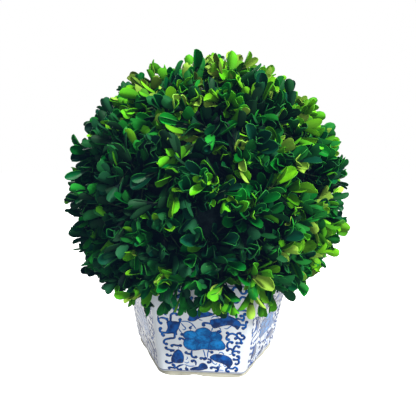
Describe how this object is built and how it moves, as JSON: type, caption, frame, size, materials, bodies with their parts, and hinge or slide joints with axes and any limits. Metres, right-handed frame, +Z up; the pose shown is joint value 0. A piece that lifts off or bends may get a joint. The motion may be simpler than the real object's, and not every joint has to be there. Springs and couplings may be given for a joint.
{
  "type": "box topiary ball in a six-sided porcelain pot",
  "caption": "Round clipped box topiary ball seated on the rim of a six-sided, blue-and-white painted porcelain pot with a low foot ring.",
  "frame": {"origin": "on the ground, under the middle of the pot", "axes": "+Z up through the middle of the pot and the ball; -Y out of the pot's front panel, which is parallel to X"},
  "size_m": [0.2818, 0.283, 0.309],
  "materials": {
    "porcelain_glaze": "warm grey-white porcelain under a clear gloss glaze, painted in cobalt blue",
    "dry_foam": "matt green dry foam, crumbly and finely pitted",
    "stem_bark": "dull grey-brown bark with fine ridges",
    "box_leaves": "small leathery evergreen leaves with a satin gloss, from blue-green to yellow-green",
    "box_twigs": "thin green-brown twigs, dull",
    "core_moss": "dark green moss over foam, matt",
    "cobalt_painting": "cobalt blue brushwork under a clear gloss glaze",
    "unglazed_foot": "cream unglazed porcelain, matt"
  },
  "bodies": {
    "root": {"pot": "porcelain_glaze", "foam_block": "dry_foam", "stem": "stem_bark", "leaf_ball": "box_leaves"}
  },
  "joints": []
}
